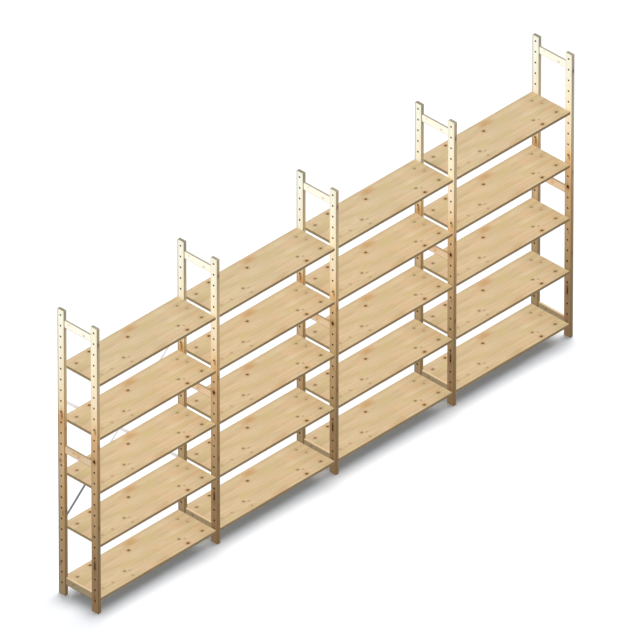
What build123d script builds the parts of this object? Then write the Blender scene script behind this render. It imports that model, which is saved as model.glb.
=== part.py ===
from build123d import *
import math
import os

# Pine ladder-frame shelving run: five ladder frames, four bays of five boards,
# steel shelf pins in the posts' hole rows, and a riveted cross brace behind bay 1.
# Millimetres. X runs along the shelving, -Y is the front, +Z is up.
# The origin is at the middle of the run's footprint, on the floor.

# ---------------------------------------------------------------- dimensions
BAYS = 4
LEVELS = 5
CLEAR_BAY = 1013.0          # clear width between the posts of neighbouring frames
DEPTH = 337.0               # frame depth, front face to back face
HEIGHT = 2100.0             # frame height

POST_T = 25.0               # post thickness, along X
POST_W = 55.0               # post width, along Y
POST_EDGE_R = 2.0           # rounding of the long edges
POST_END_C = 1.5            # bevel at the two ends

HOLE_R = 5.5                # pin hole radius
HOLE_COUNT = 26
HOLE_Z0 = 88.0              # height of the lowest hole
HOLE_PITCH = 79.0

RUNG_T = 15.0               # rung thickness, along X
RUNG_H = 52.0               # rung height
RUNG_SET = 9.0              # from the post's -X face to the rung's -X face
RUNG_Z = {"bottom": 102.5, "middle": 1078.0, "top": 2002.5}   # rung centre heights
RUNG_EDGE_R = 1.5
TENON_T = 9.0
TENON_H = 34.0
TENON_L = 19.8
MORTISE_D = 20.0
MORTISE_GAP = 0.1           # clearance on every side of a tenon

SHELF_T = 20.0
SHELF_GAP_L = 2.5           # between a shelf's left end and the post beside it
SHELF_GAP_R = 10.5          # the same at its right end
SHELF_FRONT = 0.5           # from the frame's front face
SHELF_BACK = 11.5           # from the frame's back face
SHELF_EDGE_R = 1.5
SHELF_TOP_1 = 110.0         # top of the lowest shelf
SHELF_STEP_HOLES = 5        # hole pitches between two shelves

PIN_R = 5.4
PIN_IN = 12.0               # inside the post
PIN_OUT = 20.0              # standing out of the post, under the shelf
PIN_CHAMFER = 0.8
GROOVE_END = 22.0           # length of the seat groove, from the post's face

STRAP_W = 20.0
STRAP_T = 1.5
STRAP_Z_LOW = 483.0         # height of the lower end fixings
STRAP_Z_HIGH = 1428.0       # height of the upper end fixings
STRAP_TAIL = 12.0           # strap beyond its fixing
STRAP_JOG = 0.05            # air between the straps where they cross
SCREW_R = 2.0
SCREW_L = 20.0              # under the head
SCREW_HEAD_R = 4.6
SCREW_HEAD_H = 2.4
RIVET_R = 3.0
RIVET_HEAD_R = 5.6
RIVET_HEAD_H = 1.4
RIVET_SINK_R = 4.2          # flush countersunk end, on the board side
RIVET_SINK_H = 1.2

PITCH = CLEAR_BAY + POST_T
FRAMES = BAYS + 1
SHELF_STEP = SHELF_STEP_HOLES * HOLE_PITCH
LENGTH = BAYS * PITCH + POST_T
BACK_PROUD = 2 * STRAP_T + STRAP_JOG + RIVET_HEAD_H     # what stands behind the posts
X0 = -LENGTH / 2                        # -X face of frame 1
Y0 = -(DEPTH + BACK_PROUD) / 2          # front faces of the posts
Y1 = Y0 + DEPTH                         # back faces of the posts
LOW = (Align.MIN, Align.MIN, Align.MIN)

os.makedirs("parts", exist_ok=True)


def frame_x(i):
    """-X face of frame i, counted from 0."""
    return X0 + i * PITCH


def hole_z(j):
    return HOLE_Z0 + j * HOLE_PITCH


def shelf_top(level):
    return SHELF_TOP_1 + level * SHELF_STEP


def save(shape, name):
    shape.label = name
    export_step(shape, f"parts/{name}.step")


def along_x(radius, length):
    """Cylinder from x = 0 to x = length."""
    return Rot(0, 90, 0) * Cylinder(radius, length, align=(Align.CENTER, Align.CENTER, Align.MIN))


# ---------------------------------------------------------------- posts
def make_post(front, pilots=()):
    """A post with its -X front bottom corner at the origin.

    front: the mortises open to the back; otherwise they open to the front.
    pilots: heights of the brace screws' pilot holes in the back face.
    """
    body = Box(POST_T, POST_W, HEIGHT, align=LOW)
    body = fillet(body.edges().filter_by(Axis.Z), POST_EDGE_R)
    ends = body.faces().sort_by(Axis.Z)
    body = chamfer(ends[0].edges() + ends[-1].edges(), POST_END_C)
    cuts = [Pos(-1, POST_W / 2, hole_z(j)) * along_x(HOLE_R, POST_T + 2) for j in range(HOLE_COUNT)]
    for zc in RUNG_Z.values():
        mort = Box(TENON_T + 2 * MORTISE_GAP, MORTISE_D, TENON_H + 2 * MORTISE_GAP,
                   align=(Align.CENTER, Align.MIN, Align.CENTER))
        y = POST_W - MORTISE_D if front else 0.0
        cuts.append(Pos(RUNG_SET + RUNG_T / 2, y, zc) * mort)
    for zc in pilots:
        drill = Cylinder(SCREW_R + 0.05, SCREW_L - STRAP_T + 0.5,
                         align=(Align.CENTER, Align.CENTER, Align.MIN))
        cuts.append(Pos(POST_T / 2, POST_W, zc) * Rot(90, 0, 0) * drill)
    return body - cuts


# ---------------------------------------------------------------- rungs
def make_rung():
    """A rung from y = 0 (front post's inner face) to the back post's inner face, centred on z = 0."""
    span = DEPTH - 2 * POST_W
    body = Box(RUNG_T, span, RUNG_H, align=(Align.MIN, Align.MIN, Align.CENTER))
    body = fillet(body.edges().filter_by(Axis.Y), RUNG_EDGE_R)
    tenon = Box(TENON_T, span + 2 * TENON_L, TENON_H, align=(Align.CENTER, Align.CENTER, Align.CENTER))
    return body + Pos(RUNG_T / 2, span / 2, 0) * tenon


# ---------------------------------------------------------------- shelf board
def make_shelf():
    """A board with its top face at z = 0 and x = 0 at the left post's inner face, y = 0 at the frame's front."""
    body = Box(CLEAR_BAY - SHELF_GAP_L - SHELF_GAP_R, DEPTH - SHELF_FRONT - SHELF_BACK, SHELF_T,
               align=(Align.MIN, Align.MIN, Align.MAX))
    body = fillet(body.edges().filter_by(Axis.X), SHELF_EDGE_R)
    body = Pos(SHELF_GAP_L, SHELF_FRONT, 0) * body
    pin_z = HOLE_Z0 - SHELF_TOP_1
    cuts = []
    for y in (POST_W / 2, DEPTH - POST_W / 2):
        cuts.append(Pos(0, y, pin_z) * along_x(HOLE_R, GROOVE_END))
        cuts.append(Pos(CLEAR_BAY - GROOVE_END, y, pin_z) * along_x(HOLE_R, GROOVE_END))
    return body - cuts


# ---------------------------------------------------------------- shelf pin
def make_pin():
    pin = along_x(PIN_R, PIN_IN + PIN_OUT)
    return chamfer(pin.edges().filter_by(GeomType.CIRCLE), PIN_CHAMFER)


# ---------------------------------------------------------------- cross brace
def make_strap(length, jog):
    """A flat strap along X, centred on x = 0, its post side on y = 0, thickness towards +Y."""
    half = length / 2 + STRAP_TAIL
    if jog:
        rise = STRAP_T + STRAP_JOG
        low = [(-half, 0), (-46, 0), (-16, rise), (16, rise), (46, 0), (half, 0)]
        high = [(x, y + STRAP_T) for x, y in reversed(low)]
        outline = Polyline(*low, *high, close=True)
        body = extrude(make_face(outline), STRAP_W / 2, both=True)
    else:
        body = Box(2 * half, STRAP_T, STRAP_W, align=(Align.CENTER, Align.MIN, Align.CENTER))
    ends = body.edges().filter_by(Axis.Y).group_by(Axis.X)
    body = fillet(ends[0] + ends[-1], STRAP_W / 2 - 1.0)

    def hole(x, r):
        return Pos(x, -5, 0) * Rot(-90, 0, 0) * Cylinder(r, 20, align=(Align.CENTER, Align.CENTER, Align.MIN))

    cuts = [hole(-length / 2, SCREW_R + 0.3), hole(length / 2, SCREW_R + 0.3), hole(0, RIVET_R + 0.1)]
    if not jog:
        cuts.append(Rot(-90, 0, 0) * Cone(RIVET_SINK_R + 0.1, RIVET_R + 0.1, RIVET_SINK_H,
                                          align=(Align.CENTER, Align.CENTER, Align.MIN)))
    return body - cuts


def dome(radius, height):
    """A low round head: flat at y = 0, domed towards +Y."""
    head = Cylinder(radius, height, align=(Align.CENTER, Align.CENTER, Align.MIN))
    head = fillet(head.faces().sort_by(Axis.Z)[-1].edges(), height * 0.8)
    return Rot(-90, 0, 0) * head


def make_screw():
    """A round-head wood screw: the head's underside on y = 0, the shank towards -Y."""
    shank = Rot(90, 0, 0) * Cylinder(SCREW_R, SCREW_L - 3, align=(Align.CENTER, Align.CENTER, Align.MIN))
    tip = Pos(0, -(SCREW_L - 3), 0) * Rot(90, 0, 0) * Cone(SCREW_R, 0.4, 3,
                                                         align=(Align.CENTER, Align.CENTER, Align.MIN))
    head = dome(SCREW_HEAD_R, SCREW_HEAD_H)
    slot_a = Pos(0, SCREW_HEAD_H, 0) * Box(4.6, 2.4, 0.9)
    slot_b = Pos(0, SCREW_HEAD_H, 0) * Box(0.9, 2.4, 4.6)
    return (head - [slot_a, slot_b]) + shank + tip


def make_rivet():
    """A rivet through both straps: flush on the board side at y = 0, a low head behind."""
    grip = 2 * STRAP_T + STRAP_JOG
    shank = Rot(-90, 0, 0) * Cylinder(RIVET_R, grip, align=(Align.CENTER, Align.CENTER, Align.MIN))
    back = Pos(0, grip, 0) * dome(RIVET_HEAD_R, RIVET_HEAD_H)
    front = Rot(-90, 0, 0) * Cone(RIVET_SINK_R, RIVET_R, RIVET_SINK_H,
                                  align=(Align.CENTER, Align.CENTER, Align.MIN))
    return shank + back + front


# ---------------------------------------------------------------- place everything
front_post = make_post(True)
back_post = make_post(False)
braced_back_post = make_post(False, (STRAP_Z_LOW, STRAP_Z_HIGH))
rung = make_rung()
shelf = make_shelf()
pin = make_pin()

for i in range(FRAMES):
    x = frame_x(i)
    n = i + 1
    save(Pos(x, Y0, 0) * front_post, f"frame_{n}_front_post")
    rear = braced_back_post if i < 2 else back_post
    save(Pos(x, Y1 - POST_W, 0) * rear, f"frame_{n}_back_post")
    for name, zc in RUNG_Z.items():
        save(Pos(x + RUNG_SET, Y0 + POST_W, zc) * rung, f"frame_{n}_{name}_rung")

for b in range(BAYS):
    xl = frame_x(b) + POST_T            # the left frame's inner face
    pins = []
    for level in range(LEVELS):
        save(Pos(xl, Y0, shelf_top(level)) * shelf, f"bay_{b + 1}_shelf_{level + 1}")
        z = hole_z(level * SHELF_STEP_HOLES)
        for y in (Y0 + POST_W / 2, Y1 - POST_W / 2):
            pins.append(Pos(xl - PIN_IN, y, z) * pin)
            pins.append(Pos(xl + CLEAR_BAY - PIN_OUT, y, z) * pin)
    save(Compound(children=pins), f"bay_{b + 1}_shelf_pins")

xa = frame_x(0) + POST_T / 2
xb = frame_x(1) + POST_T / 2
xm, zm = (xa + xb) / 2, (STRAP_Z_LOW + STRAP_Z_HIGH) / 2
run, climb = xb - xa, STRAP_Z_HIGH - STRAP_Z_LOW
strap_len = math.hypot(run, climb)
lean = math.degrees(math.atan2(climb, run))
save(Pos(xm, Y1, zm) * Rot(0, -lean, 0) * make_strap(strap_len, False), "brace_rising_strap")
save(Pos(xm, Y1, zm) * Rot(0, lean, 0) * make_strap(strap_len, True), "brace_falling_strap")
save(Pos(xm, Y1, zm) * make_rivet(), "brace_rivet")
screw = make_screw()
screws = [Pos(x, Y1 + STRAP_T, z) * screw for x in (xa, xb) for z in (STRAP_Z_LOW, STRAP_Z_HIGH)]
save(Compound(children=screws), "brace_screws")

print("length", LENGTH, "depth", DEPTH + BACK_PROUD, "height", HEIGHT)
print("shelf tops", [shelf_top(k) for k in range(LEVELS)])
print("shelf pitch", SHELF_STEP, "strap length", strap_len, "lean", lean)
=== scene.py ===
import bpy, math
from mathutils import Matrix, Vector


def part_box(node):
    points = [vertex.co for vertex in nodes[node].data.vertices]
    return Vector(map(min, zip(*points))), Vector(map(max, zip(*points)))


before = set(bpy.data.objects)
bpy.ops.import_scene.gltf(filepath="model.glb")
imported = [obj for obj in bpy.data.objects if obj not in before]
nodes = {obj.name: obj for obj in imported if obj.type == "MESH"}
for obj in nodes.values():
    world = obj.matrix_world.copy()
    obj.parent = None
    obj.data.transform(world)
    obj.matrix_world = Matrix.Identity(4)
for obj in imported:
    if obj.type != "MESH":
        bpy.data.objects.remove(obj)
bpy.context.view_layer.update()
scene = bpy.context.scene

# ---------------------------------------------------------------- places, read from the frame
post1_lo, post1_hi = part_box("frame_1_front_post")
post2_lo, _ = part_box("frame_2_front_post")
back_lo, back_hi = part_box("frame_1_back_post")
board_lo, board_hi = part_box("bay_1_shelf_1")
upper_lo, upper_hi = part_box("bay_1_shelf_2")
X0, Y0 = post1_lo.x, post1_lo.y
PITCH = post2_lo.x - post1_lo.x
POST_T, POST_W, HEIGHT = post1_hi.x - post1_lo.x, post1_hi.y - post1_lo.y, post1_hi.z
BACK_Y = back_lo.y
BOARD_X, BOARD_Y, BOARD_Z = board_lo.x, board_lo.y, board_lo.z
BOARD_L, BOARD_D, BOARD_T = board_hi.x - board_lo.x, board_hi.y - board_lo.y, board_hi.z - board_lo.z
STEP = upper_hi.z - board_hi.z
HOLE_Z0, HOLE_PITCH, HOLE_R = 0.088, 0.079, 0.0055


# ---------------------------------------------------------------- node helpers
class Net:
    """A material's node tree, with short calls for the nodes used here."""

    def __init__(self, name):
        self.mat = bpy.data.materials.new(name)
        self.mat.use_nodes = True
        self.tree = self.mat.node_tree
        self.tree.nodes.clear()
        self.out = self.node("ShaderNodeOutputMaterial")
        self.bsdf = self.node("ShaderNodeBsdfPrincipled")
        self.link(self.bsdf.outputs["BSDF"], self.out.inputs["Surface"])
        coord = self.node("ShaderNodeTexCoord")
        self.pos = coord.outputs["Object"]
        self.x, self.y, self.z = self.split(self.pos)
        self.nx, self.ny, self.nz = self.split(coord.outputs["Normal"])

    def node(self, kind):
        return self.tree.nodes.new(kind)

    def link(self, a, b):
        self.tree.links.new(a, b)

    def put(self, socket, value):
        if isinstance(value, bpy.types.NodeSocket):
            self.link(value, socket)
        elif value is not None:
            socket.default_value = value

    def m(self, op, a, b=None, c=None, clamp=False):
        n = self.node("ShaderNodeMath")
        n.operation = op
        n.use_clamp = clamp
        for s, v in zip(n.inputs, (a, b, c)):
            self.put(s, v)
        return n.outputs[0]

    def add(self, *v):
        r = v[0]
        for o in v[1:]:
            r = self.m("ADD", r, o)
        return r

    def mul(self, *v):
        r = v[0]
        for o in v[1:]:
            r = self.m("MULTIPLY", r, o)
        return r

    def sub(self, a, b):
        return self.m("SUBTRACT", a, b)

    def v(self, op, a, b=None):
        n = self.node("ShaderNodeVectorMath")
        n.operation = op
        self.put(n.inputs[0], a)
        self.put(n.inputs[1], b)
        return n.outputs["Value"] if op in ("LENGTH", "DISTANCE", "DOT_PRODUCT") else n.outputs["Vector"]

    def split(self, vec):
        n = self.node("ShaderNodeSeparateXYZ")
        self.link(vec, n.inputs[0])
        return n.outputs[0], n.outputs[1], n.outputs[2]

    def vec(self, x=0.0, y=0.0, z=0.0):
        n = self.node("ShaderNodeCombineXYZ")
        for s, v in zip(n.inputs, (x, y, z)):
            self.put(s, v)
        return n.outputs[0]

    def step(self, x, lo, hi, a=0.0, b=1.0):
        """Smooth step: a at lo and b at hi."""
        n = self.node("ShaderNodeMapRange")
        n.interpolation_type = "SMOOTHSTEP"
        self.put(n.inputs[0], x)
        for i, val in zip((1, 2, 3, 4), (lo, hi, a, b)):
            self.put(n.inputs[i], val)
        return n.outputs[0]

    def noise(self, vec, scale=1.0, detail=2.0, rough=0.5, dist=0.0):
        n = self.node("ShaderNodeTexNoise")
        n.noise_dimensions = "3D"
        self.put(n.inputs["Vector"], vec)
        n.inputs["Scale"].default_value = scale
        n.inputs["Detail"].default_value = detail
        n.inputs["Roughness"].default_value = rough
        n.inputs["Distortion"].default_value = dist
        return n.outputs["Fac"] if "Fac" in n.outputs else n.outputs[0]

    def white(self, value):
        n = self.node("ShaderNodeTexWhiteNoise")
        n.noise_dimensions = "1D"
        self.put(n.inputs["W"], value)
        return n.outputs["Value"]

    def mix(self, fac, a, b, mode="MIX"):
        n = self.node("ShaderNodeMix")
        n.data_type = "RGBA"
        n.blend_type = mode
        n.clamp_factor = True
        self.put(n.inputs[0], fac)
        for s, v in ((n.inputs[6], a), (n.inputs[7], b)):
            if isinstance(v, tuple) and len(v) == 3:
                v = (*v, 1.0)
            self.put(s, v)
        return n.outputs[2]

    def ramp(self, fac, stops, interpolation="LINEAR"):
        n = self.node("ShaderNodeValToRGB")
        n.color_ramp.interpolation = interpolation
        e = n.color_ramp.elements
        while len(e) > 1:
            e.remove(e[-1])
        for i, (p, c) in enumerate(stops):
            el = e[0] if i == 0 else e.new(p)
            el.position = p
            el.color = (*c, 1.0)
        self.put(n.inputs[0], fac)
        return n.outputs[0]

    def shade(self, color, amount):
        """color times a grey amount."""
        return self.v("MULTIPLY", color, self.vec(amount, amount, amount))

    def bump(self, height, strength, distance):
        n = self.node("ShaderNodeBump")
        n.inputs["Strength"].default_value = strength
        n.inputs["Distance"].default_value = distance
        self.put(n.inputs["Height"], height)
        self.link(n.outputs[0], self.bsdf.inputs["Normal"])

    def set(self, **values):
        for key, value in values.items():
            socket = self.bsdf.inputs[key.replace("_", " ")]
            self.put(socket, (*value, 1.0) if isinstance(value, tuple) and len(value) == 3 else value)


def lin(r, g, b):
    """8-bit display colour to linear."""
    out = []
    for c in (r, g, b):
        c /= 255.0
        out.append(c / 12.92 if c <= 0.04045 else ((c + 0.055) / 1.055) ** 2.4)
    return tuple(out)


def scaled(color, k):
    return tuple(c * k for c in color)


def gray_mul(n, color, *factors):
    k = factors[0]
    for f in factors[1:]:
        k = n.mul(k, f)
    return n.shade(color, k)


# ---------------------------------------------------------------- light levels the colours are balanced for
LIT_TOP, LIT_LEFT, LIT_FRONT = 1.04, 1.15, 0.50


# ---------------------------------------------------------------- pine boards
# (x from the board's left end, y from its front edge, radius along x, radius along y, depth of tone, redness), metres
BOARD_KNOTS = [
    (0.2000, 0.2920, 0.0105, 0.0095, 1.00, 0.2),
    (0.0580, 0.2600, 0.0110, 0.0100, 0.62, 0.7),
    (0.4765, 0.2350, 0.0105, 0.0095, 0.92, 0.4),
    (0.3005, 0.0980, 0.0100, 0.0085, 0.62, 0.2),
    (0.3275, 0.0800, 0.0080, 0.0070, 0.26, 0.2),
    (0.3055, 0.0310, 0.0085, 0.0070, 0.34, 0.4),
    (0.1655, 0.0640, 0.0080, 0.0080, 0.28, 0.5),
    (0.0785, 0.0650, 0.0080, 0.0080, 0.30, 0.3),
    (0.7835, 0.0290, 0.0120, 0.0100, 1.00, 0.3),
    (0.7755, 0.0980, 0.0100, 0.0085, 0.66, 0.2),
    (0.8035, 0.0780, 0.0080, 0.0070, 0.34, 0.2),
    (0.9235, 0.2530, 0.0090, 0.0085, 0.50, 0.5),
    (0.9455, 0.1910, 0.0095, 0.0070, 0.36, 0.4),
    (0.9385, 0.0600, 0.0110, 0.0095, 0.72, 0.8),
]


def knots(n, a, b, spots, grow=1.0):
    """Returns (core mask, halo mask, red mask, b pulled towards the knots so the grain parts round them)."""
    here = n.vec(a, b, 0.0)
    core = halo = red = 0.0
    pull = 0.0
    for ka, kb, ra, rb, depth, redness in spots:
        d = n.v("LENGTH", n.v("MULTIPLY", n.v("SUBTRACT", here, (ka, kb, 0.0)), (1 / (ra * grow), 1 / (rb * grow), 0.0)))
        c = n.mul(n.step(d, 1.25, 0.6), min(1.0, depth * 1.15))
        h = n.mul(n.step(d, 3.0, 0.7), depth)
        core = c if core == 0.0 else n.m("MAXIMUM", core, c)
        halo = h if halo == 0.0 else n.m("MAXIMUM", halo, h)
        r = n.mul(h, redness)
        red = r if red == 0.0 else n.m("MAXIMUM", red, r)
        wide = n.v("LENGTH", n.v("MULTIPLY", n.v("SUBTRACT", here, (ka, kb, 0.0)), (1 / (ra * 4.2), 1 / (rb * 3.0), 0.0)))
        w = n.mul(n.m("EXPONENT", n.mul(n.mul(wide, wide), -1.6)), 0.8 * min(1.0, 0.35 + depth))
        p = n.mul(n.sub(b, kb), w)
        pull = p if pull == 0.0 else n.add(pull, p)
    return core, halo, red, n.sub(b, pull)


def board_material():
    n = Net("pine_board")
    x = n.sub(n.m("FLOORED_MODULO", n.add(n.sub(n.x, BOARD_X), 0.004), PITCH), 0.004)
    y = n.sub(n.y, BOARD_Y)
    z = n.sub(n.m("FLOORED_MODULO", n.add(n.sub(n.z, BOARD_Z), 0.004), STEP), 0.004)
    across = n.add(y, n.mul(n.sub(z, BOARD_T), 0.85))         # carries the grain over the long edges
    core, halo, red, grain = knots(n, x, y, BOARD_KNOTS)
    grain = n.add(grain, n.mul(n.sub(z, BOARD_T), 0.85))

    # seven glued staves, each with its own tone and its own piece of grain
    wobble = n.noise(n.vec(n.mul(x, 2.0), n.mul(y, 3.0), 0.0), 1.0, 1.0)
    stave = n.m("FLOOR", n.m("DIVIDE", n.add(y, 0.0005), BOARD_D / 7 + 0.0003))
    pick = n.white(n.add(stave, 3.7))
    tone = n.add(0.98, n.mul(pick, 0.04))
    shift = n.mul(pick, 7.3)

    streak = n.noise(n.vec(n.add(n.mul(x, 3.0), shift), n.mul(grain, 30.0), n.mul(z, 6.0)), 1.0, 3.0, 0.55, 0.15)
    fine = n.noise(n.vec(n.add(n.mul(x, 7.0), shift), n.mul(grain, 240.0), n.mul(z, 40.0)), 1.0, 2.0, 0.6)
    bend = n.noise(n.vec(n.add(n.mul(x, 1.1), shift), n.mul(grain, 7.0), 2.0), 1.0, 1.5, 0.5)
    rings = n.m("SINE", n.add(n.mul(grain, 410.0), n.mul(bend, 16.0), n.mul(shift, 2.0)))
    late = n.m("POWER", n.add(n.mul(rings, 0.5), 0.5), 2.5)
    mottle = n.noise(n.vec(n.mul(x, 5.0), n.mul(y, 11.0), 5.0), 1.0, 2.0, 0.5)

    light, warm = lin(217, 196, 160), lin(202, 176, 135)
    color = n.mix(n.step(streak, 0.30, 0.72), scaled(light, 1 / LIT_TOP), scaled(warm, 1 / LIT_TOP))
    color = n.mix(n.mul(late, 0.10), color, scaled(lin(186, 148, 98), 1 / LIT_TOP))
    color = n.mix(n.mul(n.step(fine, 0.45, 0.72), 0.15), color, scaled(lin(180, 148, 102), 1 / LIT_TOP))
    color = n.mix(n.mul(n.step(mottle, 0.48, 0.66), 0.60), color, scaled(lin(218, 184, 144), 1 / LIT_TOP))
    color = n.mix(n.mul(n.step(mottle, 0.48, 0.32), 0.60), color, scaled(lin(205, 184, 132), 1 / LIT_TOP))
    # orange-brown patches by the back and front edges, near the middle
    back_band = n.v("LENGTH", n.v("MULTIPLY", n.v("SUBTRACT", n.vec(x, y, 0.0), (0.545, 0.288, 0.0)), (1 / 0.062, 1 / 0.026, 0.0)))
    front_band = n.v("LENGTH", n.v("MULTIPLY", n.v("SUBTRACT", n.vec(x, y, 0.0), (0.545, 0.018, 0.0)), (1 / 0.075, 1 / 0.024, 0.0)))
    color = n.mix(n.mul(n.step(back_band, 1.5, 0.1), n.add(0.35, n.mul(streak, 0.7))), color, scaled(lin(190, 146, 92), 1 / LIT_TOP))
    color = n.mix(n.mul(n.step(front_band, 1.5, 0.1), n.add(0.15, n.mul(streak, 0.6))), color, scaled(lin(190, 150, 98), 1 / LIT_TOP))
    ends = n.step(x, 0.80, 1.0)
    color = n.mix(n.mul(ends, n.mul(n.step(streak, 0.3, 0.7), 0.3)), color, scaled(lin(200, 160, 108), 1 / LIT_TOP))
    # knots
    color = n.mix(n.mul(halo, 0.42), color, scaled(lin(172, 138, 82), 1 / LIT_TOP))
    color = n.mix(n.mul(red, 0.25), color, scaled(lin(192, 122, 66), 1 / LIT_TOP))
    knot_ring = n.noise(n.vec(n.mul(x, 300.0), n.mul(y, 300.0), 0.0), 1.0, 2.0, 0.6)
    core_color = n.mix(knot_ring, scaled(lin(66, 44, 10), 1 / LIT_TOP), scaled(lin(108, 78, 28), 1 / LIT_TOP))
    color = n.mix(n.mul(core, 0.95), color, core_color)
    # glue lines
    seam = n.m("ABSOLUTE", n.sub(n.m("FRACT", n.m("DIVIDE", n.add(y, 0.0005), BOARD_D / 7 + 0.0003)), 0.5))
    color = gray_mul(n, color, tone, n.step(seam, 0.485, 0.5, 1.0, 0.86))

    # a little darker towards both ends
    color = n.mix(n.step(x, 0.80, 0.93), color, n.v("MULTIPLY", color, (0.915, 0.915, 0.89)))
    color = n.mix(n.step(x, 0.13, 0.03), color, n.v("MULTIPLY", color, (0.93, 0.925, 0.93)))

    # long edges: the same wood in less light, and end grain on the two ends
    edge = n.step(n.m("ABSOLUTE", n.ny), 0.5, 0.85)
    color = n.mix(edge, n.v("MULTIPLY", color, (1.027, 1.043, 1.065)), n.v("MULTIPLY", color, (0.76, 0.675, 0.56)))
    # painted light: on the lowest boards the long edges are lighter and bluer than the same wood higher up
    lowest_edge_painted_light = n.mul(edge, n.step(n.z, 0.24, 0.16))
    color = n.mix(lowest_edge_painted_light, color, n.v("MULTIPLY", color, (1.06, 1.12, 1.20)))
    # the back arris is darker
    back_arris_dark = n.mul(n.step(y, BOARD_D - 0.0070, BOARD_D - 0.0010), n.step(n.nz, 0.3, 0.6))
    color = n.mix(n.mul(back_arris_dark, 0.8), color, n.v("MULTIPLY", color, (0.58, 0.52, 0.44)))
    radius = n.v("LENGTH", n.v("SUBTRACT", n.vec(n.mul(n.m("SUBTRACT", n.m("FRACT", n.m("DIVIDE", y, BOARD_D / 7)), 0.5), 0.048), n.mul(z, 1.0), 0.0), (0.004, -0.030, 0.0)))
    arcs = n.m("SINE", n.add(n.mul(radius, 2600.0), n.mul(n.noise(n.vec(n.mul(y, 60.0), n.mul(z, 60.0), shift), 1.0, 2.0), 6.0)))
    pores = n.noise(n.vec(n.mul(y, 900.0), n.mul(z, 900.0), 0.0), 1.0, 2.0, 0.6)
    end_color = n.mix(n.add(n.mul(arcs, 0.3), 0.5), lin(122, 105, 77), lin(146, 127, 95))
    end_color = gray_mul(n, end_color, n.add(0.8, n.mul(pores, 0.4)))
    end = n.step(n.m("ABSOLUTE", n.nx), 0.5, 0.85)
    color = n.mix(end, color, end_color)
    n.set(Base_Color=color, Roughness=n.add(0.56, n.mul(streak, 0.12), n.mul(core, -0.06)), Specular_IOR_Level=0.22)
    height = n.add(n.mul(late, 0.35), n.mul(fine, 0.5), n.mul(core, -0.8), n.mul(n.step(seam, 0.485, 0.5), -0.6))
    n.bump(height, 0.35, 0.0004)
    return n.mat


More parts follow.
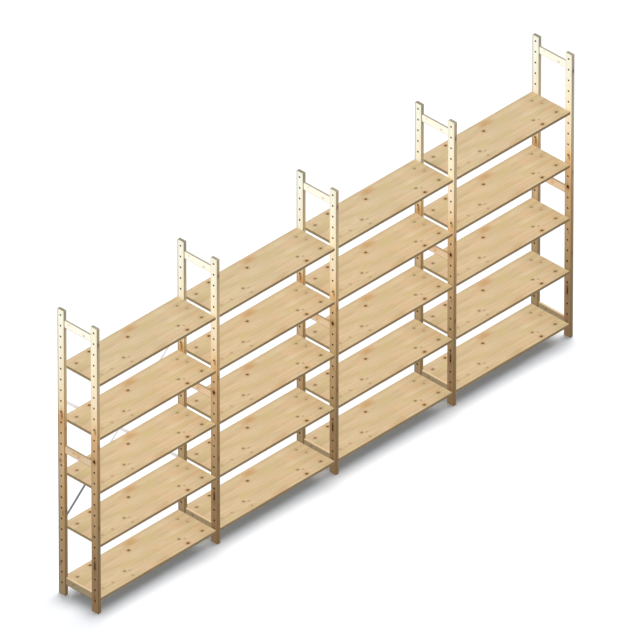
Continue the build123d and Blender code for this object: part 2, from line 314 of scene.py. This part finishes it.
# ---------------------------------------------------------------- posts
def post_material(name, front):
    n = Net(name)
    x = n.sub(n.m("FLOORED_MODULO", n.add(n.sub(n.x, X0), 0.004), PITCH), 0.004)
    y = n.sub(n.y, Y0 if front else BACK_Y)
    z = n.z
    across = n.add(y, n.mul(x, 0.9))
    wide = n.step(n.m("ABSOLUTE", n.nx), 0.45, 0.8)             # 1 on the drilled faces
    spots = [
        (1.1150, 0.0275, 0.0150, 0.0115, 1.0, 0.3),
        (0.3500, 0.0270, 0.0360, 0.0068, 0.85, 0.3),
        (0.1050, 0.0300, 0.0260, 0.0040, 0.45, 0.2),
        (0.7800, 0.0200, 0.0140, 0.0050, 0.35, 0.4),
        (1.3400, 0.0180, 0.0220, 0.0090, 0.45, 0.9),
        (0.5600, 0.0380, 0.0120, 0.0050, 0.30, 0.3),
    ] if front else [
        (1.3300, 0.0200, 0.0300, 0.0080, 0.55, 0.9),
        (0.9900, 0.0330, 0.0130, 0.0100, 0.50, 0.4),
        (0.6100, 0.0170, 0.0200, 0.0060, 0.35, 0.3),
        (0.2300, 0.0380, 0.0160, 0.0060, 0.40, 0.3),
    ]
    core, halo, red, grain = knots(n, z, y, spots)
    side = [(1.9810, 0.0125, 0.0150, 0.0065, 0.55, 0.2), (0.6300, 0.0120, 0.0180, 0.0050, 0.4, 0.3), (1.2300, 0.0140, 0.0200, 0.0050, 0.35, 0.4)]
    core_s, halo_s, red_s, _ = knots(n, z, x, side)
    narrow = n.sub(1.0, wide)
    core = n.add(n.mul(core, wide), n.mul(core_s, narrow))
    halo = n.add(n.mul(halo, wide), n.mul(halo_s, narrow))
    grain = n.add(grain, n.mul(x, 0.9))

    long = n.noise(n.vec(n.mul(z, 1.4), n.mul(grain, 60.0), 3.0), 1.0, 3.0, 0.55, 0.1)
    fine = n.noise(n.vec(n.mul(z, 7.0), n.mul(grain, 330.0), 1.0), 1.0, 2.0, 0.6)
    bend = n.noise(n.vec(n.mul(z, 0.9), n.mul(grain, 10.0), 9.0), 1.0, 1.5, 0.5)
    late = n.m("POWER", n.add(n.mul(n.m("SINE", n.add(n.mul(grain, 560.0), n.mul(bend, 11.0))), 0.5), 0.5), 2.2)

    zt = n.m("DIVIDE", z, HEIGHT)
    if front:
        wide_stops = [(0.05, (140, 110, 78)), (0.16, (146, 117, 84)), (0.26, (161, 133, 94)), (0.355, (178, 145, 106)), (0.45, (190, 158, 115)),
                      (0.545, (198, 162, 118)), (0.605, (214, 172, 122)), (0.645, (232, 203, 156)), (0.735, (247, 229, 198)), (0.83, (250, 238, 204)), (0.95, (250, 246, 223))]
    else:
        wide_stops = [(0.05, (152, 128, 97)), (0.26, (171, 143, 104)), (0.35, (180, 150, 110)), (0.45, (197, 167, 128)), (0.55, (204, 169, 127)), (0.60, (201, 163, 117)), (0.63, (209, 168, 117)),
                      (0.655, (228, 208, 168)), (0.735, (244, 230, 199)), (0.95, (250, 249, 230))]
    thin_stops = [(0.07, (128, 104, 71)), (0.21, (132, 112, 81)), (0.355, (143, 115, 78)), (0.50, (156, 123, 86)), (0.64, (175, 147, 106)), (0.78, (180, 162, 124)), (0.93, (170, 152, 122))]
    wide_color = n.ramp(zt, [(p, scaled(lin(*c), 0.86 / LIT_LEFT)) for p, c in wide_stops])
    high = n.step(z, 1.22, 1.36)
    wide_color = n.mix(high, n.v("MULTIPLY", wide_color, (1.005 / 0.86, 1.015 / 0.86, 1.0 / 0.86)), n.v("MULTIPLY", wide_color, (1.05 / 0.86, 1.02 / 0.86, 0.99 / 0.86)))
    # painted shade and light on frames 2 to 5: their wide faces are darkened to cancel the bounce light from the
    # boards, their narrow faces are lightened on the front posts and darkened on the back posts
    inner_frames_painted_shading = n.step(n.sub(n.x, X0), 0.3, 0.6)
    last_frame_painted_light = n.step(n.sub(n.x, X0), 3.6, 3.9)
    wide_color = n.mix(n.mul(inner_frames_painted_shading, n.sub(1.0, high)), wide_color, n.v("MULTIPLY", wide_color, (0.94, 0.975, 1.01)))
    wide_color = n.mix(n.mul(inner_frames_painted_shading, high), wide_color, n.v("MULTIPLY", wide_color, (0.94, 0.97, 1.01)))
    if not front:
        thin_stops[-1:] = [(0.93, (168, 153, 125)), (0.985, (155, 146, 125))]
    thin_color = n.ramp(zt, [(p, scaled(lin(*c), 1 / LIT_FRONT)) for p, c in thin_stops])
    thin_color = n.shade(thin_color, n.step(x, 0.0015, 0.0130, 0.72, 1.00))
    thin_color = n.mix(n.mul(inner_frames_painted_shading, n.sub(1.0, last_frame_painted_light)), thin_color, n.v("MULTIPLY", thin_color, (1.08, 1.05, 1.00) if front else (0.87, 0.95, 1.00)))
    # painted light: the narrow faces of the end frame are made bluer
    thin_color = n.mix(last_frame_painted_light, thin_color, n.v("MULTIPLY", thin_color, (1.0, 1.08, 1.27)))
    # painted shade: a darker line down both long edges of the wide faces
    arris_painted_shade = n.m("MAXIMUM", n.step(y, 0.0040, 0.0005), n.step(y, POST_W - 0.0055, POST_W - 0.0010))
    wide_color = n.mix(n.mul(arris_painted_shade, 0.70), wide_color, n.v("MULTIPLY", wide_color, (0.62, 0.60, 0.55)))
    if not front:                                               # painted shade: a greyer band down the outer edge
        outer_edge_painted_shade = n.step(y, POST_W - 0.0110, POST_W - 0.0060)
        wide_color = n.mix(n.mul(outer_edge_painted_shade, 0.9), wide_color, n.v("MULTIPLY", wide_color, (0.56, 0.57, 0.58)))
    color = n.mix(wide, thin_color, wide_color)
    color = gray_mul(n, color, n.step(long, 0.25, 0.75, 1.06, 0.92), n.add(1.02, n.mul(late, -0.09)), n.add(1.03, n.mul(fine, -0.08)))
    color = n.mix(n.mul(halo, 0.5), color, n.v("MULTIPLY", color, (0.66, 0.50, 0.36)))
    color = n.mix(n.mul(red, n.mul(wide, 0.5)), color, n.v("MULTIPLY", color, (0.86, 0.58, 0.34)))
    color = n.mix(n.mul(core, 0.95), color, n.v("MULTIPLY", color, (0.16, 0.115, 0.085)))

    # end grain at top and bottom, grey-brown: partly the end grain's own darker tone, partly painted shade
    end = n.step(n.m("ABSOLUTE", n.nz), 0.6, 0.9)
    radius = n.v("LENGTH", n.v("SUBTRACT", n.vec(x, y, 0.0), (-0.018, 0.030, 0.0)))
    arcs = n.m("SINE", n.add(n.mul(radius, 2300.0), n.mul(n.noise(n.vec(n.mul(x, 70.0), n.mul(y, 70.0), 0.0), 1.0, 2.0), 5.0)))
    end_color = n.mix(n.add(n.mul(arcs, 0.45), 0.5), lin(112, 104, 80) if not front else lin(124, 118, 96), lin(174, 163, 140) if not front else lin(194, 186, 166))
    color = n.mix(end, color, end_color)

    # painted shade: the walls of the pin holes are dark, and the slight dark rim round each mouth is painted shade
    # with some grime
    zi = n.mul(n.sub(n.m("FRACT", n.add(n.m("DIVIDE", n.sub(z, HOLE_Z0), HOLE_PITCH), 0.5)), 0.5), HOLE_PITCH)
    hole = n.v("LENGTH", n.vec(0.0, n.sub(y, POST_W / 2), zi))
    in_rows = n.mul(n.step(z, HOLE_Z0 - 0.03, HOLE_Z0 - 0.025), n.step(z, HOLE_Z0 + 25 * HOLE_PITCH + 0.03, HOLE_Z0 + 25 * HOLE_PITCH + 0.025))
    hole_wall_painted_shade = n.mul(n.step(hole, HOLE_R + 0.0004, HOLE_R + 0.0001), in_rows)
    hole_rim_shade_and_grime = n.mul(n.step(hole, HOLE_R + 0.0026, HOLE_R + 0.0007), in_rows)
    color = n.mix(n.mul(hole_rim_shade_and_grime, 0.92), color, n.v("MULTIPLY", color, (0.16, 0.13, 0.07)))
    hole_inside_shade_color = n.mix(n.step(z, 1.25, 1.45), lin(50, 24, 2), lin(58, 44, 16))
    color = n.mix(hole_wall_painted_shade, color, hole_inside_shade_color)
    n.set(Base_Color=color, Roughness=n.add(0.56, n.mul(long, 0.12)), Specular_IOR_Level=0.22)
    n.bump(n.add(n.mul(late, 0.35), n.mul(fine, 0.5), n.mul(core, -0.8)), 0.35, 0.0004)
    return n.mat


# ---------------------------------------------------------------- rungs
def rung_material(name, zc, face, upper, seed, lift=1.0):
    n = Net(name)
    x = n.sub(n.m("FLOORED_MODULO", n.add(n.sub(n.x, X0), 0.004), PITCH), 0.004)
    y = n.sub(n.y, Y0)
    z = n.sub(n.z, zc)
    across = n.add(z, n.mul(x, 0.9))
    spots = [(0.120 + 0.05 * seed, -0.008 + 0.006 * seed, 0.009, 0.0055, 0.5, 0.5), (0.245 - 0.03 * seed, 0.012 - 0.008 * seed, 0.007, 0.004, 0.35, 0.3)]
    core, halo, red, grain = knots(n, y, z, spots)
    grain = n.add(grain, n.mul(x, 0.9))
    long = n.noise(n.vec(n.mul(y, 3.0), n.mul(grain, 55.0), 3.0 + seed), 1.0, 3.0, 0.55, 0.1)
    fine = n.noise(n.vec(n.mul(y, 12.0), n.mul(grain, 330.0), 1.0 + seed), 1.0, 2.0, 0.6)
    bend = n.noise(n.vec(n.mul(y, 2.2), n.mul(grain, 12.0), 9.0 + seed), 1.0, 1.5, 0.5)
    late = n.m("POWER", n.add(n.mul(n.m("SINE", n.add(n.mul(grain, 520.0), n.mul(bend, 11.0))), 0.5), 0.5), 2.2)
    top = n.step(n.nz, 0.5, 0.85)
    # the top surface takes the colour upper, which holds painted shade on the top and middle rungs and painted light
    # on the bottom rung
    color = n.mix(top, scaled(lin(*face), lift / LIT_LEFT), scaled(lin(*upper), 1 / LIT_TOP))
    color = gray_mul(n, color, n.step(long, 0.25, 0.75, 1.05, 0.93), n.add(1.01, n.mul(late, -0.08)), n.add(1.03, n.mul(fine, -0.07)))
    color = n.mix(n.mul(halo, 0.4), color, n.v("MULTIPLY", color, (0.72, 0.55, 0.40)))
    color = n.mix(n.mul(core, 0.9), color, n.v("MULTIPLY", color, (0.30, 0.20, 0.13)))
    if seed == 1:
        streak = n.v("LENGTH", n.v("MULTIPLY", n.v("SUBTRACT", n.vec(y, grain, 0.0), (0.185, 0.020, 0.0)), (1 / 0.060, 1 / 0.011, 0.0)))
        color = n.mix(n.mul(n.step(streak, 1.3, 0.2), n.sub(1.0, top), 0.75), color, n.v("MULTIPLY", color, (0.98, 0.74, 0.52)))
    # painted shade: a darker strip along the lower edge of the side faces
    lower_edge_painted_shade = n.mul(n.step(z, -0.0180, -0.0245), n.sub(1.0, top))
    color = n.mix(n.mul(lower_edge_painted_shade, 0.8), color, n.v("MULTIPLY", color, (0.55, 0.56, 0.57)))
    end = n.step(n.m("ABSOLUTE", n.ny), 0.6, 0.9)
    color = n.mix(end, color, n.v("MULTIPLY", color, (0.72, 0.68, 0.6)))
    n.set(Base_Color=color, Roughness=n.add(0.52, n.mul(long, 0.12)), Specular_IOR_Level=0.3)
    n.bump(n.add(n.mul(late, 0.35), n.mul(fine, 0.5), n.mul(core, -0.8)), 0.35, 0.0004)
    return n.mat


# ---------------------------------------------------------------- steel
def strap_material(name, rising):
    n = Net(name)
    cell = n.node("ShaderNodeTexVoronoi")
    cell.feature = "F1"
    cell.inputs["Scale"].default_value = 160.0
    n.link(n.pos, cell.inputs["Vector"])
    spangle = cell.outputs["Color"]
    tint, _, _ = n.split(spangle)
    cloud = n.noise(n.pos, 9.0, 3.0, 0.55)
    scratch = n.noise(n.vec(n.mul(n.add(n.x, n.z), 500.0), n.mul(n.sub(n.x, n.z), 8.0) if rising else n.mul(n.add(n.x, n.z), 8.0), 0.0), 1.0, 2.0, 0.5)
    pale, dark_reflection_color = lin(226, 232, 242), lin(116, 125, 136)
    color = n.mix(n.add(n.mul(tint, 0.3), n.mul(cloud, 0.25)), pale, scaled(pale, 0.8))
    # painted reflection: the lower-left part of the rising strap is dark blue-grey
    if rising:
        reflection_low_part = n.step(n.sub(n.x, X0), 0.42, 0.30)
        color = n.mix(reflection_low_part, color, n.mix(n.add(n.mul(tint, 0.3), n.mul(cloud, 0.3)), dark_reflection_color, scaled(dark_reflection_color, 0.75)))
    zinc = lin(190, 196, 204)
    color = n.mix(n.step(n.ny, 0.3, 0.7), color, n.mix(n.add(n.mul(tint, 0.35), n.mul(cloud, 0.3)), zinc, scaled(zinc, 0.72)))
    n.set(Base_Color=color, Metallic=0.35, Roughness=n.add(0.34, n.mul(cloud, 0.2), n.mul(scratch, 0.08)))
    n.bump(n.add(n.mul(tint, 0.4), n.mul(scratch, 0.6)), 0.15, 0.0003)
    return n.mat


def steel_material():
    n = Net("pin_steel")
    cloud = n.noise(n.pos, 60.0, 3.0, 0.55)
    turn = n.noise(n.vec(n.mul(n.x, 2500.0), n.mul(n.y, 60.0), n.mul(n.z, 60.0)), 1.0, 2.0, 0.5)
    color = n.mix(cloud, lin(196, 198, 202), lin(150, 152, 156))
    n.set(Base_Color=color, Metallic=0.95, Roughness=n.add(0.26, n.mul(cloud, 0.18)))
    n.bump(n.add(turn, n.mul(cloud, 0.5)), 0.12, 0.0002)
    return n.mat


def assign(obj, mat):
    if not obj.data.materials:
        obj.data.materials.append(mat)
    for i in range(len(obj.data.materials)):
        obj.data.materials[i] = mat


board_mat = board_material()
front_mat = post_material("pine_front_post", True)
back_mat = post_material("pine_back_post", False)
rung_z = {k: sum(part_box(f"frame_1_{k}_rung")[i].z for i in (0, 1)) / 2 for k in ("top", "middle", "bottom")}
# each rung's second colour is its top surface: painted shade grey-brown on the top and middle rungs, painted light
# cream on the bottom rung
rung_mats = {
    "top": rung_material("pine_top_rung", rung_z["top"], (254, 248, 231), (180, 172, 150), 0, 1.09),
    "middle": rung_material("pine_middle_rung", rung_z["middle"], (222, 195, 160), (172, 150, 118), 1),
    "bottom": rung_material("pine_bottom_rung", rung_z["bottom"], (156, 138, 109), (226, 202, 162), 2),
}
rising_mat, falling_mat, steel_mat = strap_material("strap_rising", True), strap_material("strap_falling", False), steel_material()
for name, obj in nodes.items():
    if "_shelf_pins" in name or name == "brace_screws":
        assign(obj, steel_mat)
    elif "_shelf_" in name:
        assign(obj, board_mat)
    elif name.endswith("front_post"):
        assign(obj, front_mat)
    elif name.endswith("back_post"):
        assign(obj, back_mat)
    elif name.endswith("_rung"):
        assign(obj, rung_mats[name.split("_")[-2]])
    elif name == "brace_rising_strap":
        assign(obj, rising_mat)
    else:
        assign(obj, falling_mat)


# ---------------------------------------------------------------- floor
def floor_material():
    mat = bpy.data.materials.new("studio_floor")
    mat.use_nodes = True
    t = mat.node_tree
    t.nodes.clear()
    out = t.nodes.new("ShaderNodeOutputMaterial")
    path = t.nodes.new("ShaderNodeLightPath")
    seen, bounced = t.nodes.new("ShaderNodeBsdfDiffuse"), t.nodes.new("ShaderNodeBsdfDiffuse")
    seen.inputs["Color"].default_value = (0.96, 0.97, 1.0, 1.0)
    bounced.inputs["Color"].default_value = (0.32, 0.32, 0.33, 1.0)
    mix = t.nodes.new("ShaderNodeMixShader")
    t.links.new(path.outputs["Is Camera Ray"], mix.inputs[0])
    t.links.new(bounced.outputs[0], mix.inputs[1])
    t.links.new(seen.outputs[0], mix.inputs[2])
    t.links.new(mix.outputs[0], out.inputs["Surface"])
    return mat


mesh = bpy.data.meshes.new("studio_floor")
F = 60.0
mesh.from_pydata([(-F, -F, 0), (F, -F, 0), (F, F, 0), (-F, F, 0)], [], [(0, 1, 2, 3)])
floor = bpy.data.objects.new("studio_floor", mesh)
scene.collection.objects.link(floor)
floor.location.z = -0.0005
floor.data.materials.append(floor_material())

# ---------------------------------------------------------------- light
world = bpy.data.worlds.new("studio")
scene.world = world
world.use_nodes = True
wt = world.node_tree
wt.nodes.clear()
w_out = wt.nodes.new("ShaderNodeOutputWorld")
w_path = wt.nodes.new("ShaderNodeLightPath")


def background(color, strength):
    b = wt.nodes.new("ShaderNodeBackground")
    b.inputs["Color"].default_value = (*color, 1.0)
    b.inputs["Strength"].default_value = strength
    return b


AMBIENT = 0.16
ambient, glossy, seen = background((0.99, 1.0, 1.02), AMBIENT), background((1, 1, 1), 0.60), background((1, 1, 1), 1.0)
mix_a, mix_b = wt.nodes.new("ShaderNodeMixShader"), wt.nodes.new("ShaderNodeMixShader")
wt.links.new(w_path.outputs["Is Glossy Ray"], mix_a.inputs[0])
wt.links.new(ambient.outputs[0], mix_a.inputs[1])
wt.links.new(glossy.outputs[0], mix_a.inputs[2])
wt.links.new(w_path.outputs["Is Camera Ray"], mix_b.inputs[0])
wt.links.new(mix_a.outputs[0], mix_b.inputs[1])
wt.links.new(seen.outputs[0], mix_b.inputs[2])
wt.links.new(mix_b.outputs[0], w_out.inputs["Surface"])

unit = bpy.data.collections.new("shelving_run")
ground = bpy.data.collections.new("ground")
casters = bpy.data.collections.new("ground_shadow_casters")
for o in nodes.values():
    unit.objects.link(o)
ground.objects.link(floor)
for b in range(1, 5):
    casters.objects.link(nodes[f"bay_{b}_shelf_2"])
for i in range(1, 6):
    for k in ("front_post", "back_post"):
        casters.objects.link(nodes[f"frame_{i}_{k}"])


def sun(name, toward, strength, angle, receivers, shadows=False, blockers=None, glossy=True):
    """A large soft lamp far away in the direction `toward`; with glossy off it gives no shine on the wood."""
    data = bpy.data.lights.new(name, "SUN")
    data.energy = strength
    data.angle = math.radians(angle)
    data.use_shadow = shadows
    lamp = bpy.data.objects.new(name, data)
    scene.collection.objects.link(lamp)
    d = Vector(toward).normalized()
    lamp.location = d * 6.0
    lamp.rotation_mode = "QUATERNION"
    lamp.rotation_quaternion = d.to_track_quat("Z", "Y")
    lamp.visible_glossy = glossy
    lamp.light_linking.receiver_collection = receivers
    if blockers is not None:
        lamp.light_linking.blocker_collection = blockers
    return lamp


PI = math.pi
straps = bpy.data.collections.new("straps")
for k in ("brace_rising_strap", "brace_falling_strap", "brace_rivet"):
    straps.objects.link(nodes[k])
sun("soft_left", (-1.0, 0.0, 0.35), 0.90 * PI, 30, unit, glossy=False)
sun("soft_top", (0.05, 0.1, 1.0), 0.465 * PI, 40, unit, glossy=False)
sun("soft_front", (0.0, -1.0, 0.2), 0.135 * PI, 40, unit, glossy=False)
sun("soft_right", (1.0, 0.0, 0.10), 0.62 * PI, 40, unit, glossy=False)
sun("soft_back", (0.0, 1.0, 0.15), 0.35 * PI, 40, unit, glossy=False)
sun("strap_fill", (-0.2, -1.0, 0.3), 0.72 * PI, 40, straps)
for k, lean in enumerate((0.06, 0.115, 0.17)):              # three in a row, so the shadow has no light bands at the frames
    sun(f"floor_top_{k + 1}", (lean, 0.058, 1.0), 0.84 / 3 * PI, 17.5, ground, True, casters)
floor_fill = sun("floor_fill", (0.0, 0.0, 1.0), 0.18 * PI, 40, ground)
floor_fill.data.color = (0.80, 0.93, 1.0)

# ---------------------------------------------------------------- camera
AZ, EL = math.radians(-45.78), math.radians(34.42)
back = Vector((math.sin(AZ) * math.cos(EL), -math.cos(AZ) * math.cos(EL), math.sin(EL)))
right = Vector((math.cos(AZ), math.sin(AZ), 0.0))
up = back.cross(right)
VIEW_WIDTH = 3.8894
target = Vector((X0 + 2.0998, Y0 + 0.1685, 1.0788)) - right * 0.0055 - up * 0.0015
cam_data = bpy.data.cameras.new("camera")
cam = bpy.data.objects.new("camera", cam_data)
scene.collection.objects.link(cam)
cam_data.sensor_width = 36.0
cam_data.lens = 1600.0
distance = VIEW_WIDTH * cam_data.lens / cam_data.sensor_width
cam.location = target + back * distance
cam.rotation_mode = "QUATERNION"
cam.rotation_quaternion = (-back).to_track_quat("-Z", "Y")
cam_data.clip_start, cam_data.clip_end = 100.0, 400.0
scene.camera = cam

scene.view_settings.view_transform = "Standard"
scene.view_settings.look = "None"
scene.view_settings.exposure = 0.0
scene.view_settings.gamma = 1.0
